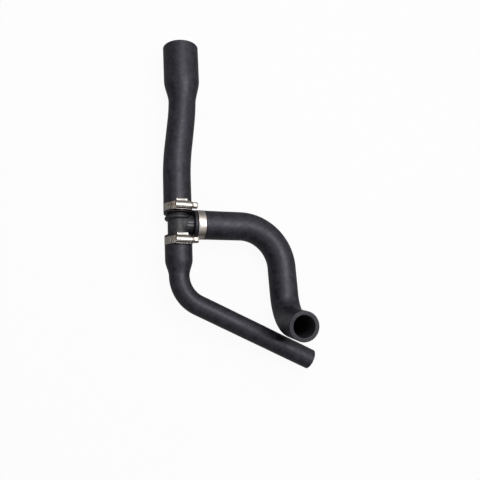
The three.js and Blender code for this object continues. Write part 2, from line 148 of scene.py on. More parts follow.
class BranchHoseSizes(PropertyGroup):
    """The hose with a wide bend and an elbow that turns its mouth up"""

    bore: length("Bore", "Inside diameter", 0.0256)
    wall: length("Wall", "Wall thickness", 0.00485)
    first_run: length("First run", "Straight length from the tee's centre", 0.0773)
    bend_radius: length("Bend radius", "Centreline radius of the wide bend", 0.0528)
    bend: angle("Bend", "Turn of the wide bend", 88.0)
    drop: length("Drop", "Straight length between bend and elbow", 0.0332)
    elbow_radius: length("Elbow radius", "Centreline radius of the elbow", 0.0373)
    elbow: angle("Elbow", "Turn of the elbow", 81.0)
    elbow_lean: angle("Elbow lean", "How far the elbow leans off the upright", 8.0)
    mouth_run: length("Mouth run", "Straight length up to the mouth", 0.0365)
    lip: length("Lip", "Rubber that shows between the hose's start and its band", 0.0042)


class TeeSizes(PropertyGroup):
    """The plastic tee inside the three hoses"""

    body: length("Body", "Outside diameter of the straight run", 0.0246)
    branch_body: length("Branch body", "Outside diameter of the branch", 0.0238)
    bore: length("Bore", "Inside diameter of all three arms", 0.0186)
    lower_setback: length("Lower setback", "Bare run between the branch and the lower hose", 0.0018)
    beyond_band: length("Beyond band", "How far each stub reaches past its band", 0.0115)
    bead_height: length("Bead height", "Height of the bead that holds each hose", 0.0008)
    bead_length: length("Bead length", "Length of each bead", 0.0024)
    collar: length("Collar", "Diameter of the ring on the upper arm", 0.0316)
    collar_thickness: length("Collar thickness", "Thickness of the ring", 0.004)
    collar_setback: length("Collar setback", "From the upper hose's end to the ring", 0.003)
    rib_height: length("Rib height", "How far the ribs stand out", 0.0007)
    rib_width: length("Rib width", "Width of each rib", 0.0015)
    rib_length: length("Rib length", "Length of each rib along the branch", 0.0093)
    rib_spread: angle("Rib spread", "Angle between the two ribs", 18.0)
    voxel: length("Grain of the mesh", "Size of the faces that the moulding is made of", 0.0005)


class ClipSizes(PropertyGroup):
    """The three worm-drive clips"""

    width: length("Band width", "Width of the band", 0.009)
    thickness: length("Band thickness", "Thickness of the band", 0.0007)
    lap_gap: length("Lap gap", "Gap between the band's two laps", 0.0002)
    pinch: length("Pinch", "How far the band presses the rubber in", 0.001)
    pinch_slope: length("Pinch slope", "Length over which the rubber rises beside the band", 0.0012)
    tuck: angle("Tuck", "How far the band starts before the housing's middle", 25.0)
    rise: angle("Rise", "Angle over which the upper lap rises", 35.0)
    tail: angle("Tail", "How far the free tail passes the housing's middle", 60.0)
    slot_length: length("Slot length", "Length of each worm slot", 0.0054)
    slot_width: length("Slot width", "Width of each worm slot", 0.0011)
    slot_pitch: length("Slot pitch", "Distance between worm slots", 0.0024)
    slot_slant: angle("Slot slant", "Slant of the worm slots", 7.0)
    slot_lead: angle("Slot lead", "How far before the housing's middle the slots start", 56.0)
    worm: length("Worm", "Outside diameter of the worm", 0.0058)
    worm_root: length("Worm root", "Diameter at the bottom of the thread", 0.0043)
    worm_length: length("Worm length", "Length of the worm", 0.016)
    neck: length("Neck", "Diameter of the screw in the housing's end wall", 0.004)
    journal: length("Journal", "Diameter of the screw's far end", 0.003)
    journal_length: length("Journal length", "Length of the screw's far end", 0.0016)
    collar: length("Collar", "Diameter of the screw's collar", 0.0078)
    collar_thickness: length("Collar thickness", "Thickness of the screw's collar", 0.002)
    hex_flats: length("Hex", "Width of the screw's head across its flats", 0.007)
    hex_length: length("Hex length", "Length of the screw's head", 0.0056)
    driver_width: length("Driver slot width", "Width of the slot in the head", 0.0012)
    driver_depth: length("Driver slot depth", "Depth of the slot in the head", 0.0016)
    housing_length: length("Housing length", "Length of the housing along its screw", 0.0186)
    sheet: length("Sheet", "Thickness of the housing's sheet", 0.0007)
    arch_sheet: length("Arch sheet", "Thickness of the arch over the worm", 0.0009)
    end_wall: length("End wall", "Thickness of the housing's end walls", 0.0008)
    arch_offset: length("Arch offset", "How far the worm sits off the band's middle", -0.001, -0.01)
    lug_length: length("Lug length", "Length of the housing's side lug", 0.013)
    lug_reach: length("Lug reach", "How far the side lug reaches over the rubber", 0.0022)
    lug_thickness: length("Lug thickness", "Thickness of the side lug", 0.0008)
    lug_lift: length("Lug lift", "Height of the side lug above the rubber", 0.0004)
    turn: angle("Turn", "How far the two upper clips are turned round their hoses", 4.0)


class Finishes(PropertyGroup):
    """Colours and finishes"""

    rubber: colour("Rubber", "Colour of the moulded rubber", (0.0058, 0.0056, 0.0082))
    rubber_bloom: colour("Rubber bloom", "Greyer colour of the surface bloom", (0.034, 0.0332, 0.046))
    rubber_cut: colour("Cut rubber", "Colour of the cut ends", (0.0085, 0.0082, 0.0098))
    # The insides are painted lighter than the rubber: partly dust, partly painted light standing in for light
    # in the bore
    rubber_bore_dust_and_light: colour("Bore rubber", "Colour of the dusty insides", (0.038, 0.036, 0.044))
    rubber_sheen: colour("Rubber sheen", "Tint of the rubber's highlights", (0.89, 0.88, 1.0))
    rubber_roughness: share("Rubber roughness", "Roughness of the rubber", 0.38)
    plastic: colour("Plastic", "Colour of the tee", (0.0115, 0.0108, 0.0135))
    # Light specks on the tee: partly dust, partly painted glints
    plastic_dust_and_glints: colour("Plastic dust", "Colour of the fine specks on the tee", (0.170, 0.163, 0.175))
    # Painted highlight: the rib tops are painted lighter, standing in for the light they catch
    rib_painted_highlight: colour("Plastic scuff", "Colour of the rubbed tops of the ribs", (0.200, 0.190, 0.205))
    plastic_roughness: share("Plastic roughness", "Roughness of the tee", 0.41)
    steel: colour("Steel", "Colour of the bands and housings", (0.62, 0.585, 0.54))
    tarnish: colour("Tarnish", "Brown of the steel where it is heat tinted", (0.42, 0.31, 0.23))
    steel_roughness: share("Steel roughness", "Roughness of the rolled steel", 0.24)
    screw: colour("Screw", "Colour of the plated screws", (0.52, 0.48, 0.43))


class StageSettings(PropertyGroup):
    """The floor, lamps and camera"""

    camera_place: position("Camera", "Where the camera stands", (-0.16895, -0.16349, 0.6727))
    camera_aim: position("Aim", "Where the camera's axis meets the floor", (0.00838, -0.04054, 0.0))
    camera_roll: angle("Roll", "How far the top of the picture leans to the right", 2.27)
    lens: number("Lens", "Focal length in millimetres", 42.0)
    key_aim: FloatVectorProperty(
        name="Key lamp's side", description="Direction from the set to the key lamp",
        default=(0.22, 0.18, 0.96), subtype="DIRECTION",
    )
    key_distance: length("Key lamp's distance", "From the set to the key lamp", 1.1)
    key_width: length("Key lamp's width", "Width of the key lamp", 1.3)
    key_depth: length("Key lamp's depth", "Depth of the key lamp", 0.5)
    key_power: number("Key lamp's power", "Power in watts", 7.2)
    sky_level: number("Sky level", "Strength of the soft light", 0.44)
    sky_low: share("Low sky", "How bright reflections find the sky away from the key lamp", 0.22)
    floor_reflected: share("Reflected floor", "How bright reflections find the floor", 0.25)
    floor_colour: colour("Floor colour", "Colour of the pale floor", (0.82, 0.82, 0.82))
    floor_glow: share("Floor glow", "How far the floor shows as plain white", 0.94)


class HoseSet(PropertyGroup):
    """All the settings of the hose set"""

    upper: PointerProperty(type=UpperHoseSizes)
    lower: PointerProperty(type=LowerHoseSizes)
    branch: PointerProperty(type=BranchHoseSizes)
    tee: PointerProperty(type=TeeSizes)
    clip: PointerProperty(type=ClipSizes)
    finish: PointerProperty(type=Finishes)
    stage: PointerProperty(type=StageSettings)
    round_steps: IntProperty(name="Steps round", description="Faces round each hose", default=96, min=24)
    fine_step: length("Fine step", "Length of the faces beside a band", 0.0005)
    long_step: length("Long step", "Length of the faces along a hose", 0.0016)


ARMS = ("upper", "lower", "branch")


# Places and routes


def tee_end(hose):
    """A hose's bore and wall where it sits on the tee."""
    return (hose.cuff_bore, hose.cuff_wall) if hasattr(hose, "cuff_bore") else (hose.bore, hose.wall)


def radius_of(hose):
    """A hose's outside radius on the tee."""
    bore, wall = tee_end(hose)
    return bore / 2 + wall


def places(hose_set):
    """Where each arm's hose starts, its band sits and its stub ends, from the tee's centre."""
    clip, tee = hose_set.clip, hose_set.tee
    past_branch = tee.branch_body / 2 + CLEARANCE
    starts = {
        "upper": past_branch,
        "lower": past_branch + tee.lower_setback,
        "branch": max(radius_of(hose_set.upper), radius_of(hose_set.lower)) + CLEARANCE,
    }
    found = {}
    for arm in ARMS:
        hose = getattr(hose_set, arm)
        band = starts[arm] + hose.lip + clip.width / 2
        tip = band + clip.width / 2 + tee.beyond_band
        found[arm] = SimpleNamespace(start=starts[arm], band=band, tip=tip)
    return found


def clip_radii(hose_set, arm):
    """Radii of the clip's layers about its hose's axis, and the height of its screw."""
    clip = hose_set.clip
    hose = radius_of(getattr(hose_set, arm))
    seat = hose - clip.pinch
    inside = seat + CLEARANCE
    lap = inside + clip.thickness + clip.lap_gap
    channel = lap + clip.thickness + CLEARANCE
    return SimpleNamespace(hose=hose, seat=seat, inside=inside, lap=lap, channel=channel,
                           screw=channel + clip.worm / 2)


def clip_place(hose_set, arm):
    """A clip's own frame on the flat set: X along its screw, Y along its hose, Z out through its housing."""
    band = places(hose_set)[arm].band
    if arm == "branch":
        axes = Matrix(((0, -1, 0), (-1, 0, 0), (0, 0, -1)))
        return Matrix.Translation((band, 0, 0)) @ axes.transposed().to_4x4()
    side = 1 if arm == "upper" else -1
    return Matrix.Translation((0, side * band, 0)) @ Matrix.Rotation(hose_set.clip.turn, 4, "Y")


def laid_place(hose_set):
    """The flat set's place on the floor, from the axes of two of the screws."""
    joints = {joint["name"]: joint for joint in frame["joints"]}
    along = Vector(joints["branch_screw_turn"]["axis"])
    across = -Vector(joints["upper_screw_turn"]["axis"])
    out = across.cross(along)
    radii = clip_radii(hose_set, "upper")
    from_tee = places(hose_set)["upper"].band + hose_set.clip.arch_offset
    tee = Vector(joints["upper_screw_turn"]["pos_m"]) - along * from_tee - out * radii.screw
    axes = Matrix((across, along, out)).transposed().to_4x4()
    return Matrix.Translation(tee) @ axes @ Matrix.Rotation(-hose_set.clip.turn, 4, "Y")


class Route:
    """A hose's centreline in straights and bends. Its frame holds the side, the heading and the way up."""

    def __init__(self, heading):
        self.end = Matrix((heading.cross(UP), heading, UP)).transposed().to_4x4()
        self.legs = []
        self.length = 0.0

    def add_leg(self, run, frame_after):
        self.legs.append((self.length, frame_after))
        self.length += run
        self.end = frame_after(run)
        return self

    def straight(self, run):
        begin = self.end.copy()
        return self.add_leg(run, lambda gone: begin @ Matrix.Translation((0, gone, 0)))

    def bend(self, radius, turn, axis):
        way = axis * math.copysign(1, turn)
        centre = way.cross(AHEAD) * radius
        begin = self.end @ Matrix.Translation(centre)
        back = Matrix.Translation(-centre)
        return self.add_leg(
            radius * abs(turn), lambda gone: begin @ Matrix.Rotation(gone / radius, 4, way) @ back
        )

    def frame_at(self, run):
        begin, frame_after = next(leg for leg in reversed(self.legs) if leg[0] <= run)
        return frame_after(run - begin)


def upper_route(hose):
    route = Route(AHEAD).straight(hose.first_run).bend(hose.bend_radius, -hose.first_bend, UP)
    route.straight(hose.middle_run).bend(hose.bend_radius, hose.second_bend, UP)
    return route.straight(hose.length - route.length)


def lower_route(hose):
    return Route(-AHEAD).straight(hose.first_run).bend(hose.bend_radius, hose.bend, UP).straight(hose.run)


def branch_route(hose):
    rise = Vector((math.cos(hose.elbow_lean), 0, -math.sin(hose.elbow_lean)))
    route = Route(Vector((1, 0, 0))).straight(hose.first_run).bend(hose.bend_radius, -hose.bend, UP)
    return route.straight(hose.drop).bend(hose.elbow_radius, hose.elbow, rise).straight(hose.mouth_run)


# Mesh tools


def eased(value, low, high):
    """0 below low and 1 above high, with a smooth rise between them."""
    t = min(1.0, max(0.0, (value - low) / (high - low)))
    return t * t * (3 - 2 * t)


def between(low, high, part):
    return low + (high - low) * part


def even_steps(low, high, step):
    """Places from low to high, evenly apart by the step or a little less."""
    count = max(1, math.ceil((high - low) / step))
    return [between(low, high, i / count) for i in range(count + 1)]


def wire(bm, points, closed=False):
    """Vertices joined by edges in the order given."""
    verts = [bm.verts.new(point) for point in points]
    pairs = list(zip(verts, verts[1:]))
    if closed:
        pairs.append((verts[-1], verts[0]))
    return verts, [bm.edges.new(pair) for pair in pairs]


def box(size, centre):
    bm = bmesh.new()
    bmesh.ops.create_cube(bm, size=1.0)
    bmesh.ops.scale(bm, vec=size, verts=bm.verts[:])
    move(bm, centre)
    return bm


def merge(bm, near=NEAR):
    bmesh.ops.remove_doubles(bm, verts=bm.verts[:], dist=near)


def face_outwards(bm):
    bmesh.ops.recalc_face_normals(bm, faces=bm.faces[:])


def move(bm, way):
    bmesh.ops.translate(bm, vec=way, verts=bm.verts[:])


def move_new(bm, made, way):
    """Moves the vertices that an extrusion has made."""
    verts = [item for item in made["geom"] if isinstance(item, bmesh.types.BMVert)]
    bmesh.ops.translate(bm, vec=way, verts=verts)


def thicken(bm, way):
    """Draws flat faces out into a closed solid."""
    move_new(bm, bmesh.ops.extrude_face_region(bm, geom=bm.faces[:], use_keep_orig=True), way)
    face_outwards(bm)


def full_spin(bm, axis, steps):
    """Spins all that the mesh holds once round an axis and closes it."""
    bmesh.ops.spin(
        bm, geom=bm.verts[:] + bm.edges[:], cent=(0, 0, 0), axis=axis, angle=FULL_TURN, steps=steps,
        use_merge=True,
    )
    merge(bm)
    face_outwards(bm)


def turned(profile, axis_is_x=False, steps=96):
    """A solid of revolution from pairs of place along its axis and radius."""
    bm = bmesh.new()
    wire(bm, [(along, radius, 0) if axis_is_x else (radius, along, 0) for along, radius in profile])
    full_spin(bm, (1, 0, 0) if axis_is_x else AHEAD, steps)
    return bm


def round_edges(bm, edges, size, segments=2):
    bmesh.ops.bevel(
        bm, geom=list(edges), offset=size, offset_type="OFFSET", segments=segments, profile=0.5,
        affect="EDGES", clamp_overlap=True, material=-1,
    )


def sharp_edges(bm, least):
    """Edges whose two faces meet at more than the least angle, in degrees."""
    limit = math.radians(least)
    return [edge for edge in bm.edges if edge.is_manifold and edge.calc_face_angle(0) > limit]


def soften(bm, least=CREASE):
    """Smooth shading, apart from the edges that stay sharp."""
    for face in bm.faces:
        face.smooth = True
    for edge in sharp_edges(bm, least):
        edge.smooth = False


def cut_off(bm, point, outward):
    """Cuts away what lies beyond a plane and closes the cut."""
    bmesh.ops.bisect_plane(
        bm, geom=bm.verts[:] + bm.edges[:] + bm.faces[:], dist=NEAR / 10, plane_co=point,
        plane_no=outward, clear_outer=True,
    )
    bmesh.ops.holes_fill(bm, edges=[edge for edge in bm.edges if edge.is_boundary], sides=0)


def join(bm, other):
    """Adds another mesh's faces to this one."""
    mesh = bpy.data.meshes.new("joined")
    other.to_mesh(mesh)
    other.free()
    bm.from_mesh(mesh)
    bpy.data.meshes.remove(mesh)


def new_object(name, data):
    made = bpy.data.objects.new(name, data)
    bpy.context.scene.collection.objects.link(made)
    return made


def mesh_object(bm, name):
    """An object that takes over the mesh."""
    mesh = bpy.data.meshes.new(name)
    bm.to_mesh(mesh)
    bm.free()
    return new_object(name, mesh)


def apply_modifiers(made):
    depsgraph = bpy.context.evaluated_depsgraph_get()
    mesh = bpy.data.meshes.new_from_object(made.evaluated_get(depsgraph))
    made.modifiers.clear()
    made.data = mesh


def combine(target, closed_mesh, operation):
    """Joins a closed mesh to the target, or cuts the target with it."""
    tool = mesh_object(closed_mesh, "tool")
    modifier = target.modifiers.new(operation.title(), "BOOLEAN")
    modifier.operation = operation
    modifier.solver = "EXACT"
    modifier.object = tool
    apply_modifiers(target)
    bpy.data.objects.remove(tool)


def mesh_of(made):
    """The object's mesh as a bmesh. The object itself is removed."""
    bm = bmesh.new()
    bm.from_mesh(made.data)
    bpy.data.objects.remove(made)
    return bm


def finished_piece(context, bm, name, node, material):
    """Lays a finished mesh where the solids lie, and lets it stand for one of them."""
    bmesh.ops.transform(bm, matrix=laid_place(context.scene.hose_set), verts=bm.verts[:])
    piece = mesh_object(bm, name)
    piece.data.materials.append(material)
    body = next(body for body, nodes in frame["record"]["behaviour"]["bodies"].items() if node in nodes)
    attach(piece, body)
    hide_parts(node)


# Hoses


def upper_radii(hose, run):
    """Inside and outside radius of the upper hose at a length from the tee's centre."""
    flare = eased(run, hose.flare_start, hose.flare_start + hose.flare_taper)
    mouth = hose.flare_bore / 2
    inside = between(hose.bore / 2, mouth, flare)
    return inside, between(radius_of(hose), mouth + hose.flare_wall, flare)


def lower_radii(hose, run, tip):
    neck = eased(run, tip + hose.neck_spare, tip + hose.neck_spare + hose.neck_taper)
    inside = between(hose.cuff_bore / 2, hose.bore / 2, neck)
    return inside, between(radius_of(hose), hose.bore / 2 + hose.wall, neck)


def unevenness(direction, run):
    """Slow waves in the moulded surface, from 0 to 1."""
    waves_round = 1.3
    wave_length = 0.017
    point = Vector((direction.x * waves_round, run / wave_length, direction.z * waves_round))
    return 0.5 + 0.5 * noise.noise(point)


def pressed_in(hose_set, radii, fit, outside, direction, run):
    """The rubber's outside radius, where the band and the housing press it in."""
    clip = hose_set.clip
    touch = 0.00003
    pocket_edge = 0.0006
    swell_height = 0.00012
    swell_middle = 2.2
    beside = abs(run - fit.translation.y)
    half = clip.width / 2
    under_band = 1 - eased(beside, half, half + clip.pinch_slope)
    past_edge = (beside - half) / clip.pinch_slope
    swell = swell_height * math.exp(-((past_edge - swell_middle) ** 2))
    radius = between(outside + swell, radii.inside - touch, under_band)
    if direction.dot(fit.to_3x3().col[2]) < 0:
        return radius
    along_screw = abs(direction.dot(fit.to_3x3().col[0])) * radius
    leg = half + CLEARANCE + clip.sheet
    pocket = 1 - eased(along_screw, clip.housing_length / 2, clip.housing_length / 2 + pocket_edge)
    pocket *= 1 - eased(beside, leg, leg + pocket_edge)
    return between(radius, radii.seat - clip.sheet - touch, pocket)


def wall_blank(hose_set, start, fine_end, finish, inside, outside):
    """A straight tube along Y with rounded rims, in short steps as far as fine_end."""
    rim_steps = 5
    close = 1e-5
    bm = bmesh.new()
    corners = ((inside, start), (outside, start), (outside, fine_end), (outside, finish),
               (inside, finish), (inside, fine_end))
    _, edges = wire(bm, [(radius, run, 0) for radius, run in corners], closed=True)
    fine = round((fine_end - start) / hose_set.fine_step)
    long = round((finish - fine_end) / hose_set.long_step)
    for edge, cuts in zip(edges, (rim_steps, fine, long, rim_steps, long, fine)):
        bmesh.ops.subdivide_edges(bm, edges=[edge], cuts=cuts)
    full_spin(bm, AHEAD, hose_set.round_steps)
    rims = []
    for edge in bm.edges:
        runs = [vert.co.y for vert in edge.verts]
        spans = [math.hypot(vert.co.x, vert.co.z) for vert in edge.verts]
        at_end = any(all(abs(run - end) < close for run in runs) for end in (start, finish))
        at_rim = any(all(abs(span - rim) < close for span in spans) for rim in (inside, outside))
        if at_end and at_rim:
            rims.append(edge)
    round_edges(bm, rims, hose_set.fine_step, segments=3)
    merge(bm)
    return bm


def hose_mesh(hose_set, arm, route, radii_at):
    """A hose: a straight blank given its radii, pressed in by its clip, and bent along its route."""
    spots = places(hose_set)[arm]
    radii = clip_radii(hose_set, arm)
    fit = route.frame_at(0).inverted() @ clip_place(hose_set, arm)
    uneven = 0.00016
    inside0, outside0 = radii_at(spots.start)
    fine_end = spots.band + hose_set.clip.width
    finish = route.length - CLEARANCE / 2
    bm = wall_blank(hose_set, spots.start, fine_end, finish, inside0, outside0)
    straight_place = bm.verts.layers.float_vector.new("straight_place")
    wall_depth = bm.verts.layers.float.new("wall_depth")
    frames = {}
    for vert in bm.verts:
        run = vert.co.y
        direction = Vector((vert.co.x, 0, vert.co.z))
        part = (direction.length - inside0) / (outside0 - inside0)
        direction.normalize()
        inside, outside = radii_at(run)
        outside = outside * FACET_FIT - uneven * unevenness(direction, run)
        outside = pressed_in(hose_set, radii, fit, outside, direction, run)
        straight = direction * between(inside, outside, part)
        vert[wall_depth] = 1 - part
        vert[straight_place] = straight + AHEAD * run
        key = round(run, 6)
        if key not in frames:
            frames[key] = route.frame_at(run)
        vert.co = frames[key] @ straight
    soften(bm)
    return bm


class HOSESET_OT_hoses(Operator):
    """Make the three moulded hoses"""

    bl_idname = "hose_set.make_hoses"
    bl_label = "Hoses"

    def execute(self, context):
        hose_set = context.scene.hose_set
        tip = places(hose_set)["lower"].tip
        even_radii = (hose_set.branch.bore / 2, radius_of(hose_set.branch))
        rubber = rubber_finish(hose_set.finish)
        plans = {
            "upper": (upper_route(hose_set.upper), lambda run: upper_radii(hose_set.upper, run)),
            "lower": (lower_route(hose_set.lower), lambda run: lower_radii(hose_set.lower, run, tip)),
            "branch": (branch_route(hose_set.branch), lambda run: even_radii),
        }
        for arm, (route, radii_at) in plans.items():
            bm = hose_mesh(hose_set, arm, route, radii_at)
            finished_piece(context, bm, f"{arm}_hose_rubber", f"{arm}_hose", rubber)
        return {"FINISHED"}


# Tee


def stub_profile(hose_set, arm, body):
    """One arm's outside beyond its bare part: a stub that fits its hose, with a bead near its tip."""
    tee = hose_set.tee
    spots = places(hose_set)[arm]
    root_from = spots.start - CLEARANCE
    bead = tee_end(getattr(hose_set, arm))[0] / 2 - CLEARANCE
    root = bead - tee.bead_height
    return [
        (root_from, body),
        (root_from, root),
        (spots.tip - 2 * tee.bead_length, root),
        (spots.tip - tee.bead_length, bead),
        (spots.tip - tee.bead_length / 2, bead),
        (spots.tip, root - tee.bead_height / 2),
        (spots.tip, 0),
    ]


def run_arm(hose_set):
    """The tee's straight run, with the collar on its upper arm."""
    tee = hose_set.tee
    body = tee.body / 2
    collar = tee.collar / 2 * FACET_FIT
    chamfer = 0.0008
    top = places(hose_set)["upper"].start - CLEARANCE - tee.collar_setback
    low = top - tee.collar_thickness
    return turned([
        *[(-run, radius) for run, radius in reversed(stub_profile(hose_set, "lower", body))],
        (low, body),
        (low, collar - chamfer),
        (low + chamfer, collar),
        (top - chamfer, collar),
        (top, collar - chamfer),
        (top, body),
        *stub_profile(hose_set, "upper", body),
    ])


def branch_arm(hose_set):
    body = hose_set.tee.branch_body / 2
    return turned([(0, 0), (0, body), *stub_profile(hose_set, "branch", body)], axis_is_x=True)


def rib(hose_set, lean):
    """A low rib along the branch, its end against the branch hose."""
    tee = hose_set.tee
    middle = places(hose_set)["branch"].start - CLEARANCE - tee.rib_length / 2
    bm = box((tee.rib_length, tee.rib_width, 2 * tee.rib_height), (middle, 0, tee.branch_body / 2))
    bmesh.ops.rotate(bm, cent=(0, 0, 0), matrix=Matrix.Rotation(lean, 3, "X"), verts=bm.verts[:])
    return bm


def mark_rib_highlights(bm, tee, finish):
    """Marks how far each vertex stands up on a rib, for the finish to paint a highlight on the rib tops
    there.
    """
    highlight_from, highlight_full = 0.1 * tee.rib_height, 0.7 * tee.rib_height
    end_fade = 0.3
    rib_highlight_share = bm.verts.layers.float.new("rib_highlight_share")
    arm = tee.branch_body / 2
    rib_reach = tee.rib_width / arm
    for vert in bm.verts:
        height = math.hypot(vert.co.y, vert.co.z) - arm
        along = 1 - abs(2 * (finish - vert.co.x) / tee.rib_length - 1)
        lean = math.atan2(-vert.co.y, vert.co.z)
        if min(abs(lean), abs(lean - tee.rib_spread)) < rib_reach:
            vert[rib_highlight_share] = eased(height, highlight_from, highlight_full) * eased(along, 0, end_fade)


def bore_cutter(radius, low, high, axis_is_x=False):
    return turned([(low, 0), (low, radius), (high, radius), (high, 0)], axis_is_x)


class HOSESET_OT_tee(Operator):
    """Make the moulded tee"""

    bl_idname = "hose_set.make_tee"
    bl_label = "Tee"

    def execute(self, context):
        hose_set = context.scene.hose_set
        tee = hose_set.tee
        where = places(hose_set)
        past = 0.001
        smoothings = 3
        moulding = mesh_object(run_arm(hose_set), "moulding")
        for added in (branch_arm(hose_set), rib(hose_set, 0), rib(hose_set, tee.rib_spread)):
            combine(moulding, added, "UNION")
        run_bore = bore_cutter(tee.bore / 2, -where["lower"].tip - past, where["upper"].tip + past)
        branch_bore = bore_cutter(tee.bore / 2, 0, where["branch"].tip + past, axis_is_x=True)
        for bore in (run_bore, branch_bore):
            combine(moulding, bore, "DIFFERENCE")
        remesh = moulding.modifiers.new("Remesh", "REMESH")
        remesh.mode = "VOXEL"
        remesh.voxel_size = tee.voxel
        apply_modifiers(moulding)
        bm = mesh_of(moulding)
        for _ in range(smoothings):
            bmesh.ops.smooth_vert(
                bm, verts=bm.verts[:], factor=0.5, use_axis_x=True, use_axis_y=True, use_axis_z=True
            )
        mark_rib_highlights(bm, tee, where["branch"].start - CLEARANCE)
        soften(bm, least=180)
        material = plastic_finish(hose_set.finish)
        finished_piece(context, bm, "tee_moulding", "tee_piece", material)
        return {"FINISHED"}


# Clips


def strip_columns(clip, radii):
    """The strip's columns of faces as angles: plain ones first, then the worm slots, then the plain tail."""
    pitch = clip.slot_pitch / (radii.lap + clip.thickness)
    first = FULL_TURN - clip.slot_lead
    count = math.floor((clip.slot_lead + clip.tail - pitch) / pitch)
    slots = [first + pitch * i for i in range(count)]
    return SimpleNamespace(
        pitch=pitch, slots=slots, start=-clip.tuck, slots_from=slots[0] - pitch / 2,
        slots_to=slots[-1] + pitch / 2, finish=FULL_TURN + clip.tail,
    )


def grid_between(bm, lefts, rows):
    """A flat grid whose columns and rows stand at the places given."""
    columns, steps = len(lefts) - 1, len(rows) - 1
    made = bmesh.ops.create_grid(bm, x_segments=columns, y_segments=steps, size=0.5)["verts"]
    for vert in made:
        column = round((vert.co.x + 0.5) * columns)
        row = round((vert.co.y + 0.5) * steps)
        vert.co = Vector((lefts[column], rows[row], 0))
    return made


def slot_cell(bm, clip, middle, pitch, rows):
    """One pitch of the strip, with a slanted worm slot through it."""
    half_width = clip.slot_width / 2
    straight = clip.slot_length / 2 - half_width
    centre = Vector((middle, clip.arch_offset, 0))
    sides = (-pitch / 2, -half_width, 0, half_width, pitch / 2)
    verts = grid_between(bm, [middle + side for side in sides], rows)
    hole = [vert for vert in verts if abs(vert.co.x - middle) < half_width + NEAR
            and abs(vert.co.y - centre.y) < clip.slot_length / 2 + NEAR]
    open_faces = [face for face in bm.faces if all(vert in hole for vert in face.verts)]
    bmesh.ops.delete(bm, geom=open_faces, context="FACES_ONLY")
    slant = Matrix.Rotation(clip.slot_slant, 3, "Z")
    for vert in hole:
        away = vert.co - centre
        axis_point = Vector((0, max(-straight, min(straight, away.y)), 0))
        round_way = away - axis_point
        if round_way.length > NEAR:
            away = axis_point + round_way.normalized() * half_width
        vert.co = centre + slant @ away
    loose = [vert for vert in hole if not vert.link_faces]
    bmesh.ops.delete(bm, geom=loose, context="VERTS")


def band_mesh(hose_set, radii):
    """A flat strip with worm slots, given its thickness and rolled up round the hose."""
    clip = hose_set.clip
    plan = strip_columns(clip, radii)
    flat = radii.lap + clip.thickness
    step = 0.0006
    edge_round = 0.00024
    tail_round = 0.0022
    half = clip.width / 2
    slot_end = clip.slot_length / 2
    straight = slot_end - clip.slot_width / 2
    rows = [-half, *[clip.arch_offset + y for y in (-slot_end, -straight, 0, straight, slot_end)], half]
    bm = bmesh.new()
    for low, high in ((plan.start, plan.slots_from), (plan.slots_to, plan.finish)):
        grid_between(bm, even_steps(low * flat, high * flat, step), rows)
    for middle in plan.slots:
        slot_cell(bm, clip, middle * flat, plan.pitch * flat, rows)
    merge(bm, 10 * NEAR)
    for vert in bm.verts:
        into_corner = vert.co.x - (plan.finish * flat - tail_round)
        if into_corner > 0:
            narrowed = half - tail_round + math.sqrt(max(0.0, tail_round ** 2 - into_corner ** 2))
            vert.co.y *= narrowed / half
    thicken(bm, (0, 0, clip.thickness))
    round_edges(bm, sharp_edges(bm, least=60), edge_round)
    flat_place = bm.verts.layers.float_vector.new("flat_place")
    for vert in bm.verts:
        vert[flat_place] = vert.co.copy()
        turn = vert.co.x / flat
        lift = eased(turn, FULL_TURN - clip.tuck - clip.rise, FULL_TURN - clip.tuck)
        radius = between(radii.inside, radii.lap, lift) + vert.co.z
        vert.co = Vector((radius * math.sin(turn), vert.co.y, radius * math.cos(turn)))
    soften(bm)
    return bm


def arch_radius(clip):
    """Radius of the middle of the sheet in the arch over the worm."""
    return clip.worm / 2 + CLEARANCE + clip.arch_sheet - clip.sheet / 2


def housing_section(bm, clip, radii, base):
    """The housing's section as a wire: base, legs, a slope beside the lug and the arch over the worm."""
    arch_steps = 20
    base_cuts = 7
    leg = clip.width / 2 + CLEARANCE + clip.sheet / 2
    arch = arch_radius(clip)
    shoulder = radii.channel + clip.sheet / 2
    left, right = clip.arch_offset - arch, clip.arch_offset + arch
    start = -clip.housing_length / 2
    under_arch = [(left, radii.screw), (left, shoulder), (-leg, shoulder), (-leg, base), (leg, base),
                  (leg, shoulder), (right, radii.screw - clip.sheet), (right, radii.screw)]
    verts, edges = wire(bm, [(start, across, height) for across, height in under_arch])
    bmesh.ops.spin(
        bm, geom=[verts[-1]], cent=(start, clip.arch_offset, radii.screw), axis=(1, 0, 0),
        angle=math.pi, steps=arch_steps,
    )
    bmesh.ops.subdivide_edges(bm, edges=[edges[3]], cuts=base_cuts)
    merge(bm)


def end_wall(clip, radii, side, hole):
    """A ring round the screw at one end of the housing, cut flat above the band."""
    outer = arch_radius(clip)
    face = side * clip.housing_length / 2
    inner = face - side * clip.end_wall
    bm = bmesh.new()
    wire(bm, [(face, hole, 0), (face, outer, 0), (inner, outer, 0), (inner, hole, 0)], closed=True)
    full_spin(bm, (1, 0, 0), steps=48)
    move(bm, (0, clip.arch_offset, radii.screw))
    cut_off(bm, (0, 0, radii.channel), -UP)
    return bm


def side_lug(clip, radii):
    """A pressed tab beside the housing, with raised ends and a raised edge along its root."""
    rim = 0.0009
    dish = 0.0004
    edge_round = 0.00014
    root = clip.width / 2 + CLEARANCE
    reach = clip.sheet + clip.lug_reach
    top = radii.hose + clip.lug_lift + clip.lug_thickness
    middle = root + reach / 2
    tab = box((clip.lug_length, reach, clip.lug_thickness), (0, middle, top - clip.lug_thickness / 2))
    pressed = box((clip.lug_length - 2 * rim, reach, 2 * dish), (0, middle + clip.sheet + rim, top))
    lug = mesh_object(tab, "lug")
    combine(lug, pressed, "DIFFERENCE")
    bm = mesh_of(lug)
    round_edges(bm, sharp_edges(bm, least=30), edge_round)
    return bm


